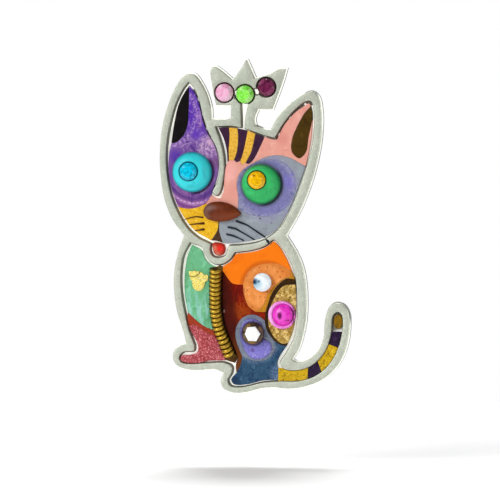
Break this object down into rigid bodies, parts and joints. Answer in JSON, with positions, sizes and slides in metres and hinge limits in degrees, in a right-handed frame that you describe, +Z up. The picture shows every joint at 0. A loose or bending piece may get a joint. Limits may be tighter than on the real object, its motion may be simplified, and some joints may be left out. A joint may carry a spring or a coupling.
{
  "type": "enamel pin badge",
  "caption": "Crowned cat badge with poured enamel fields, glued stones and a coil down its body, worn on a bar pin with a turning safety catch.",
  "frame": {"origin": "middle of the badge's outline, on the flat back of the plate", "axes": "+Z up through the crown, +Y out of the back, the front faces -Y, +X to the viewer's right"},
  "size_m": [0.0316, 0.0079, 0.0543],
  "materials": {
    "satin_steel": "satin, faintly pebbled",
    "polished_steel": "polished",
    "aged_brass": "bright brass, dark in the recesses",
    "gold_leaf": "crumpled foil",
    "dark_gold": "dark, polished",
    "black_enamel": "poured glossy enamel resin",
    "violet_enamel": "poured glossy enamel resin",
    "pale_violet_enamel": "poured glossy enamel resin",
    "turquoise_enamel": "poured glossy enamel resin",
    "plum_enamel": "poured glossy enamel resin",
    "gold_enamel": "poured glossy enamel resin",
    "pink_enamel": "poured glossy enamel resin",
    "olive_enamel": "poured glossy enamel resin",
    "lilac_enamel": "poured glossy enamel resin",
    "grey_enamel": "poured glossy enamel resin",
    "green_enamel": "poured glossy enamel resin",
    "brown_enamel": "poured glossy enamel resin",
    "red_enamel": "poured glossy enamel resin",
    "red_glitter": "resin with fine glitter",
    "mint_enamel": "poured glossy enamel resin",
    "burgundy_enamel": "poured glossy enamel resin",
    "bed_enamel": "poured glossy enamel resin",
    "orange_enamel": "poured glossy enamel resin",
    "peach_enamel": "poured glossy enamel resin",
    "amber_enamel": "poured glossy enamel resin",
    "mica_enamel": "resin with gold mica flakes",
    "blue_enamel": "poured glossy enamel resin",
    "rim_enamel": "poured glossy enamel resin",
    "tip_enamel": "poured glossy enamel resin",
    "pink_bezel": "gloss",
    "pink_glass": "cut or moulded glass, gloss",
    "green_glass": "cut or moulded glass, gloss",
    "amethyst_glass": "cut or moulded glass, gloss",
    "aqua_glass": "cut or moulded glass, gloss",
    "yellow_glass": "cut or moulded glass, gloss",
    "clear_glass": "cut or moulded glass, gloss",
    "magenta_glass": "cut or moulded glass, gloss"
  },
  "bodies": {
    "badge": {"backplate": "polished_steel", "outline_frame": "satin_steel", "bar_base": "satin_steel", "hinge_rivet": "polished_steel", "catch_housing": "polished_steel", "coil_spine": "aged_brass", "turquoise_eye_dome": "turquoise_enamel", "green_eye_dome": "green_enamel", "aqua_stone": "aqua_glass", "yellow_stone": "yellow_glass", "pink_stone": "pink_glass", "green_stone": "green_glass", "amethyst_stone": "amethyst_glass", "clear_stone": "clear_glass", "hex_stone": "clear_glass", "stone_cup": "dark_gold", "magenta_ring": "pink_bezel", "magenta_stone": "magenta_glass", "nose_drop": "brown_enamel", "tongue_drop": "red_enamel", "gold_leaf": "gold_leaf", "violet_bubble": "pale_violet_enamel", "black_ear": "black_enamel", "violet_field": "violet_enamel", "yellow_muzzle": "gold_enamel", "mouth_line": "burgundy_enamel", "grey_cheek": "grey_enamel", "lilac_ring": "lilac_enamel", "pink_face": "pink_enamel", "olive_ear": "olive_enamel", "plum_stripe_left": "plum_enamel", "gold_stripe_left": "gold_enamel", "plum_stripe_middle": "plum_enamel", "gold_stripe_right": "gold_enamel", "plum_stripe_right": "plum_enamel", "mint_flank": "mint_enamel", "red_band": "red_enamel", "red_paw": "red_glitter", "orange_shoulder": "orange_enamel", "burgundy_flank": "burgundy_enamel", "peach_disc": "peach_enamel", "amber_border": "amber_enamel", "black_crescent": "black_enamel", "gold_mica": "mica_enamel", "bubble_rim": "rim_enamel", "blue_haunch": "blue_enamel", "tail_gold_root": "gold_enamel", "tail_plum_root": "plum_enamel", "tail_gold_middle": "gold_enamel", "tail_plum_middle": "plum_enamel", "tail_tip": "tip_enamel", "coil_bed": "bed_enamel", "whisker_left_1": "burgundy_enamel", "whisker_left_2": "burgundy_enamel", "whisker_left_3": "burgundy_enamel", "whisker_right_1": "black_enamel", "whisker_right_2": "black_enamel", "whisker_right_3": "black_enamel"},
    "stem": {"pin_stem": "polished_steel"},
    "collar": {"lock_rotor": "aged_brass"}
  },
  "joints": [
    {"name": "stem_hinge", "type": "hinge", "parent": "badge", "child": "stem", "pos_m": [-0.0105, 0.0029, 0.0075], "axis": [0, 0, 1], "range_deg": [0, 95]},
    {"name": "collar_turn", "type": "hinge", "parent": "badge", "child": "collar", "pos_m": [0.0052, 0.0029, 0.0075], "axis": [-1, 0, 0], "range_deg": [0, 100]}
  ]
}
